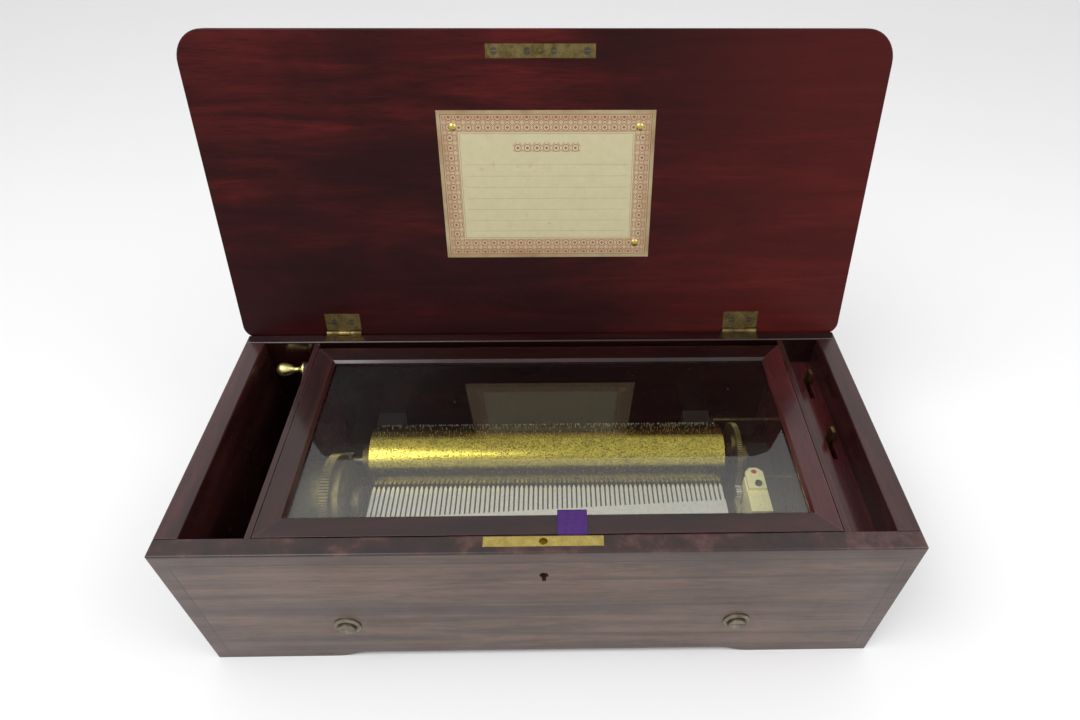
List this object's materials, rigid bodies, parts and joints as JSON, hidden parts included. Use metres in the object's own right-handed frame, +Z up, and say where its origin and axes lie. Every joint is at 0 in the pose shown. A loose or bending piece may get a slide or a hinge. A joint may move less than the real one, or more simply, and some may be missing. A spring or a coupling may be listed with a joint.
{
  "type": "wind_up_music_box",
  "caption": "Antique cylinder music box in a rosewood case, with an open lid, a glazed inner lid, a lever-wound comb movement and control levers.",
  "frame": {"origin": "On the flat underside of the case, under the middle of its length and depth.", "axes": "+X runs along the case to the viewer's right, +Y to the back where the lid is hinged, +Z up."},
  "size_m": [0.5084, 0.2984, 0.3577],
  "materials": {
    "rosewood": "waxed rosewood veneer with fine grain along the board",
    "dark_wood": "dark stained wood, worn at the edges",
    "inner_wood": "thin dark stain on plain boards",
    "mahogany": "deep red french polish inside, dark rounded rim",
    "brass": "aged brass with a soft polish",
    "worn_brass": "handled brass with dull patches",
    "steel": "polished steel with light tarnish",
    "spring_steel": "tempered blue-grey spring steel",
    "iron": "dark painted cast iron",
    "glass": "old clear glass with dust and smudges",
    "garnet": "polished red stone",
    "card": "printed paper card, browned at the edges",
    "ribbon": "woven violet ribbon"
  },
  "bodies": {
    "case": {"case_front": "rosewood", "case_back": "dark_wood", "case_left_side": "rosewood", "case_right_side": "rosewood", "case_bottom": "inner_wood", "left_partition": "inner_wood", "right_partition": "inner_wood", "control_board": "inner_wood", "lock_body": "brass", "bedplate_bolts": "steel", "bolt_washers": "brass", "hinge_case_leaves": "brass", "hinge_pins": "steel", "case_screws": "steel", "bedplate": "iron", "comb_base": "brass", "comb": "steel", "comb_screws": "steel", "left_bearing": "brass", "right_bearing": "brass", "barrel_bridge": "brass", "movement_screws": "steel", "governor_frame": "brass", "governor_cock": "brass", "endstone": "garnet"},
    "lid": {"lid_panel": "mahogany", "hinge_lid_leaves": "brass", "lid_screws": "steel", "strike_plate": "brass", "tune_card": "card", "tune_card_pins": "brass"},
    "glass_lid": {"glass_frame_front_rail": "dark_wood", "glass_frame_back_rail": "dark_wood", "glass_frame_left_rail": "dark_wood", "glass_frame_right_rail": "dark_wood", "glass_pane": "glass", "ribbon_tab": "ribbon", "glass_lid_pivots": "steel"},
    "lock_bolt": {"lock_bolt": "steel"},
    "winding_lever": {"winding_lever": "steel", "lever_knob": "brass"},
    "barrel_arbor": {"barrel_arbor": "steel", "ratchet_wheel": "steel"},
    "spring_barrel": {"spring_barrel": "brass", "barrel_wheel": "brass", "barrel_cover": "brass", "mainspring": "spring_steel"},
    "holding_click": {"holding_click": "steel"},
    "cylinder_arbor": {"cylinder_arbor": "steel", "great_wheel": "brass"},
    "cylinder": {"cylinder_sleeve": "brass", "cylinder_end_caps": "brass", "cylinder_pins": "steel"},
    "tune_snail": {"tune_snail": "brass"},
    "governor_arbor": {"governor_pinion": "steel", "worm_wheel": "brass"},
    "endless_screw": {"endless_screw": "steel", "fly": "brass"},
    "start_lever": {"start_lever": "worn_brass"},
    "change_lever": {"change_lever": "worn_brass"}
  },
  "joints": [
    {"name": "lid_hinge", "type": "hinge", "parent": "case", "child": "lid", "pos_m": [0, 0.1125, 0.13725], "axis": [-1, 0, 0], "range_deg": [-105, 0]},
    {"name": "glass_lid_hinge", "type": "hinge", "parent": "case", "child": "glass_lid", "pos_m": [0, 0.0885, 0.1295], "axis": [-1, 0, 0], "range_deg": [0, 95]},
    {"name": "lock_bolt_slide", "type": "slide", "parent": "case", "child": "lock_bolt", "axis": [-1, 0, 0], "range_m": [0, 0.0042]},
    {"name": "winding_lever_swing", "type": "hinge", "parent": "case", "child": "winding_lever", "pos_m": [-0.201, -0.0295, 0.085], "axis": [1, 0, 0], "range_deg": [0, 100]},
    {"name": "barrel_arbor_wind", "type": "hinge", "parent": "case", "child": "barrel_arbor", "pos_m": [-0.201, -0.0295, 0.085], "axis": [1, 0, 0], "range_deg": [0, 100]},
    {"name": "holding_click_lift", "type": "hinge", "parent": "case", "child": "holding_click", "pos_m": [-0.196, -0.01131, 0.0745], "axis": [-1, 0, 0], "range_deg": [0, 10]},
    {"name": "cylinder_spin", "type": "hinge", "parent": "case", "child": "cylinder_arbor", "pos_m": [0, 0.014, 0.085], "axis": [1, 0, 0], "continuous": true},
    {"name": "cylinder_shift", "type": "slide", "parent": "cylinder_arbor", "child": "cylinder", "axis": [1, 0, 0], "range_m": [0, 0.00322]},
    {"name": "snail_turn", "type": "hinge", "parent": "cylinder_arbor", "child": "tune_snail", "pos_m": [0.15195, 0.014, 0.101], "axis": [1, 0, 0], "range_deg": [0, 315]},
    {"name": "barrel_spin", "type": "hinge", "parent": "case", "child": "spring_barrel", "pos_m": [-0.178, -0.0295, 0.085], "axis": [1, 0, 0], "continuous": true},
    {"name": "governor_arbor_spin", "type": "hinge", "parent": "case", "child": "governor_arbor", "pos_m": [0.1655, -0.01791, 0.07937], "axis": [1, 0, 0], "continuous": true},
    {"name": "endless_screw_spin", "type": "hinge", "parent": "case", "child": "endless_screw", "pos_m": [0.1655, -0.00971, 0.07937], "axis": [0, 0, 1], "continuous": true},
    {"name": "start_lever_swing", "type": "hinge", "parent": "case", "child": "start_lever", "pos_m": [0.225, 0.008, 0.066], "axis": [1, 0, 0], "range_deg": [0, 18]},
    {"name": "change_lever_swing", "type": "hinge", "parent": "case", "child": "change_lever", "pos_m": [0.225, 0.075, 0.066], "axis": [1, 0, 0], "range_deg": [0, 18]}
  ],
  "couplings": [
    {"joint": "barrel_arbor_wind", "follows": "winding_lever_swing", "ratio": 1},
    {"joint": "barrel_spin", "follows": "cylinder_spin", "ratio": -0.16},
    {"joint": "governor_arbor_spin", "follows": "cylinder_spin", "ratio": -5.75},
    {"joint": "endless_screw_spin", "follows": "cylinder_spin", "ratio": 115},
    {"joint": "snail_turn", "follows": "cylinder_shift", "rad_per_m": 1707.2}
  ]
}
